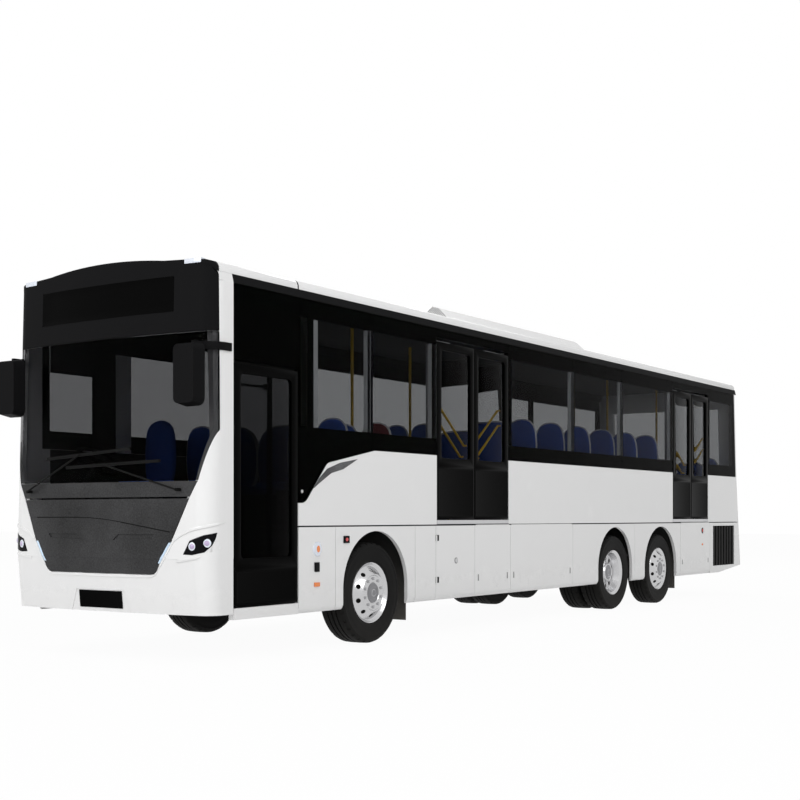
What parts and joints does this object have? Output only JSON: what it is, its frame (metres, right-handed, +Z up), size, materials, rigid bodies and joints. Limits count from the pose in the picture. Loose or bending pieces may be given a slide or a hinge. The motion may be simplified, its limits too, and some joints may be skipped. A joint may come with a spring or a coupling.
{
  "type": "coach bus",
  "caption": "Long three-axle high-platform bus with a bowed front, black glazed sides over white panels, inward-gliding double doors and a roof air conditioner.",
  "frame": {"origin": "middle of the bus on the ground", "axes": "+X forward, +Y to the left where the doors are, +Z up"},
  "size_m": [13.37, 2.532, 3.7199],
  "materials": {
    "white_paint": "gloss white paint",
    "black_trim": "gloss black",
    "grey_panel": "textured dark grey",
    "tinted_glass": "dark tinted",
    "tyre_rubber": "worn matt",
    "bright_wheel": "polished",
    "chassis_black": "satin black",
    "floor_grey": "matt grey",
    "frame_grey": "satin light grey",
    "seat_blue": "woven",
    "yellow_tube": "gloss yellow",
    "lamp_clear": "clear lens",
    "grille_black": "matt black",
    "cast_axle": "painted casting"
  },
  "bodies": {
    "bus_body": {"front_axle_beam": "cast_axle", "drive_axle": "cast_axle", "tag_axle": "cast_axle", "engine_block": "cast_axle", "chassis_frame": "chassis_black", "wheelhouse_plates": "chassis_black", "floor_deck": "floor_grey", "front_mask": "white_paint", "roof_shell": "white_paint", "roof_air_conditioner": "white_paint", "waist_panels": "white_paint", "skirts": "white_paint", "rear_cap": "white_paint", "wiper_cowl": "grille_black", "windscreen": "tinted_glass", "side_glass": "tinted_glass", "rear_window": "tinted_glass", "upper_trim": "black_trim", "window_frames": "frame_grey", "radiator_grilles": "grille_black", "lamps": "lamp_clear", "mirrors": "black_trim", "wipers": "grille_black", "dashboard": "grey_panel", "seats": "seat_blue", "grab_poles": "yellow_tube"},
    "knuckle_left": {"knuckle_left": "cast_axle"},
    "knuckle_right": {"knuckle_right": "cast_axle"},
    "steering_wheel": {"steering_wheel": "grille_black"},
    "front_panel": {"front_panel": "grey_panel"},
    "engine_hatch": {"engine_hatch": "white_paint"},
    "fuel_flap": {"fuel_flap": "white_paint"},
    "left_locker_flap_front": {"left_locker_flap_front": "white_paint"},
    "left_locker_flap_rear": {"left_locker_flap_rear": "white_paint"},
    "left_service_flap": {"left_service_flap": "white_paint"},
    "right_locker_flap_front": {"right_locker_flap_front": "white_paint"},
    "right_locker_flap_rear": {"right_locker_flap_rear": "white_paint"},
    "front_wheel_left": {"front_left_rim": "bright_wheel", "front_left_tyre": "tyre_rubber"},
    "front_wheel_right": {"front_right_rim": "bright_wheel", "front_right_tyre": "tyre_rubber"},
    "drive_wheel_left": {"drive_left_rim": "bright_wheel", "drive_left_tyre": "tyre_rubber"},
    "drive_wheel_right": {"drive_right_rim": "bright_wheel", "drive_right_tyre": "tyre_rubber"},
    "tag_wheel_left": {"tag_left_rim": "bright_wheel", "tag_left_tyre": "tyre_rubber"},
    "tag_wheel_right": {"tag_right_rim": "bright_wheel", "tag_right_tyre": "tyre_rubber"},
    "mid_door_front_arms": {"mid_door_front_arms": "frame_grey"},
    "mid_door_front_leaf": {"mid_door_front_leaf": "black_trim"},
    "mid_door_rear_arms": {"mid_door_rear_arms": "frame_grey"},
    "mid_door_rear_leaf": {"mid_door_rear_leaf": "black_trim"},
    "rear_door_front_arms": {"rear_door_front_arms": "frame_grey"},
    "rear_door_front_leaf": {"rear_door_front_leaf": "black_trim"},
    "rear_door_rear_arms": {"rear_door_rear_arms": "frame_grey"},
    "rear_door_rear_leaf": {"rear_door_rear_leaf": "black_trim"},
    "front_door_arms": {"front_door_arms": "frame_grey"},
    "front_door_leaf": {"front_door_leaf": "black_trim"}
  },
  "joints": [
    {"name": "steer_left", "type": "hinge", "parent": "bus_body", "child": "knuckle_left", "pos_m": [4.07, 0.897, 0.505], "axis": [0, 0, 1], "range_deg": [-45, 45]},
    {"name": "front_wheel_left_spin", "type": "hinge", "parent": "knuckle_left", "child": "front_wheel_left", "pos_m": [4.07, 1.067, 0.505], "axis": [0, 1, 0], "continuous": true},
    {"name": "drive_wheel_left_spin", "type": "hinge", "parent": "bus_body", "child": "drive_wheel_left", "pos_m": [-1.67, 1.067, 0.505], "axis": [0, 1, 0], "continuous": true},
    {"name": "tag_wheel_left_spin", "type": "hinge", "parent": "bus_body", "child": "tag_wheel_left", "pos_m": [-3.23, 1.067, 0.505], "axis": [0, 1, 0], "continuous": true},
    {"name": "steer_right", "type": "hinge", "parent": "bus_body", "child": "knuckle_right", "pos_m": [4.07, -0.897, 0.505], "axis": [0, 0, 1], "range_deg": [-45, 45]},
    {"name": "front_wheel_right_spin", "type": "hinge", "parent": "knuckle_right", "child": "front_wheel_right", "pos_m": [4.07, -1.067, 0.505], "axis": [0, 1, 0], "continuous": true},
    {"name": "drive_wheel_right_spin", "type": "hinge", "parent": "bus_body", "child": "drive_wheel_right", "pos_m": [-1.67, -1.067, 0.505], "axis": [0, 1, 0], "continuous": true},
    {"name": "tag_wheel_right_spin", "type": "hinge", "parent": "bus_body", "child": "tag_wheel_right", "pos_m": [-3.23, -1.067, 0.505], "axis": [0, 1, 0], "continuous": true},
    {"name": "steering_wheel_turn", "type": "hinge", "parent": "bus_body", "child": "steering_wheel", "pos_m": [5.99, -0.65, 1.79], "axis": [-0.5677, 0, 0.8232], "range_deg": [-900, 900]},
    {"name": "front_door_swing", "type": "hinge", "parent": "bus_body", "child": "front_door_arms", "pos_m": [6.09, 1.12, 1.5], "axis": [0, 0, -1], "range_deg": [0, 105]},
    {"name": "front_door_leaf_turn", "type": "hinge", "parent": "front_door_arms", "child": "front_door_leaf", "pos_m": [5.67, 1.18, 1.5], "axis": [0, 0, -1], "range_deg": [-105, 0]},
    {"name": "mid_door_swing", "type": "hinge", "parent": "bus_body", "child": "mid_door_front_arms", "pos_m": [2.94, 1.15, 2.2], "axis": [0, 0, 1], "range_deg": [0, 85]},
    {"name": "mid_door_front_leaf_turn", "type": "hinge", "parent": "mid_door_front_arms", "child": "mid_door_front_leaf", "pos_m": [2.51325, 1.15, 2.2], "axis": [0, 0, 1], "range_deg": [-170, 0]},
    {"name": "mid_door_rear_swing", "type": "hinge", "parent": "bus_body", "child": "mid_door_rear_arms", "pos_m": [1.305, 1.15, 2.2], "axis": [0, 0, -1], "range_deg": [0, 85]},
    {"name": "mid_door_rear_leaf_turn", "type": "hinge", "parent": "mid_door_rear_arms", "child": "mid_door_rear_leaf", "pos_m": [1.73175, 1.15, 2.2], "axis": [0, 0, -1], "range_deg": [-170, 0]},
    {"name": "rear_door_swing", "type": "hinge", "parent": "bus_body", "child": "rear_door_front_arms", "pos_m": [-3.64, 1.15, 2.2], "axis": [0, 0, 1], "range_deg": [0, 85]},
    {"name": "rear_door_front_leaf_turn", "type": "hinge", "parent": "rear_door_front_arms", "child": "rear_door_front_leaf", "pos_m": [-4.0355, 1.15, 2.2], "axis": [0, 0, 1], "range_deg": [-170, 0]},
    {"name": "rear_door_rear_swing", "type": "hinge", "parent": "bus_body", "child": "rear_door_rear_arms", "pos_m": [-5.15, 1.15, 2.2], "axis": [0, 0, -1], "range_deg": [0, 85]},
    {"name": "rear_door_rear_leaf_turn", "type": "hinge", "parent": "rear_door_rear_arms", "child": "rear_door_rear_leaf", "pos_m": [-4.7545, 1.15, 2.2], "axis": [0, 0, -1], "range_deg": [-170, 0]},
    {"name": "front_panel_lift", "type": "hinge", "parent": "bus_body", "child": "front_panel", "pos_m": [6.504, 0, 1.56], "axis": [0, -1, 0], "range_deg": [0, 70]},
    {"name": "engine_hatch_lift", "type": "hinge", "parent": "bus_body", "child": "engine_hatch", "pos_m": [-6.53624, 0, 1.5555], "axis": [0, 1, 0], "range_deg": [0, 80]},
    {"name": "fuel_flap_swing", "type": "hinge", "parent": "bus_body", "child": "fuel_flap", "pos_m": [2.927, 1.258, 0.77], "axis": [0, 0, -1], "range_deg": [0, 110]},
    {"name": "left_locker_flap_front_lift", "type": "hinge", "parent": "bus_body", "child": "left_locker_flap_front", "pos_m": [1.701, 1.246, 1.172], "axis": [1, 0, 0], "range_deg": [0, 80]},
    {"name": "left_locker_flap_rear_lift", "type": "hinge", "parent": "bus_body", "child": "left_locker_flap_rear", "pos_m": [0.473, 1.246, 1.172], "axis": [1, 0, 0], "range_deg": [0, 80]},
    {"name": "left_service_flap_lift", "type": "hinge", "parent": "bus_body", "child": "left_service_flap", "pos_m": [-4.587, 1.246, 1.172], "axis": [1, 0, 0], "range_deg": [0, 80]},
    {"name": "right_locker_flap_front_lift", "type": "hinge", "parent": "bus_body", "child": "right_locker_flap_front", "pos_m": [1.701, -1.246, 1.172], "axis": [-1, 0, 0], "range_deg": [0, 80]},
    {"name": "right_locker_flap_rear_lift", "type": "hinge", "parent": "bus_body", "child": "right_locker_flap_rear", "pos_m": [0.473, -1.246, 1.172], "axis": [-1, 0, 0], "range_deg": [0, 80]}
  ],
  "couplings": [
    {"joint": "steer_right", "follows": "steer_left", "ratio": 1},
    {"joint": "steering_wheel_turn", "follows": "steer_left", "ratio": 20},
    {"joint": "front_door_leaf_turn", "follows": "front_door_swing", "ratio": -1},
    {"joint": "mid_door_front_leaf_turn", "follows": "mid_door_swing", "ratio": -2},
    {"joint": "mid_door_rear_swing", "follows": "mid_door_swing", "ratio": 1},
    {"joint": "mid_door_rear_leaf_turn", "follows": "mid_door_swing", "ratio": -2},
    {"joint": "rear_door_front_leaf_turn", "follows": "rear_door_swing", "ratio": -2},
    {"joint": "rear_door_rear_swing", "follows": "rear_door_swing", "ratio": 1},
    {"joint": "rear_door_rear_leaf_turn", "follows": "rear_door_swing", "ratio": -2}
  ]
}
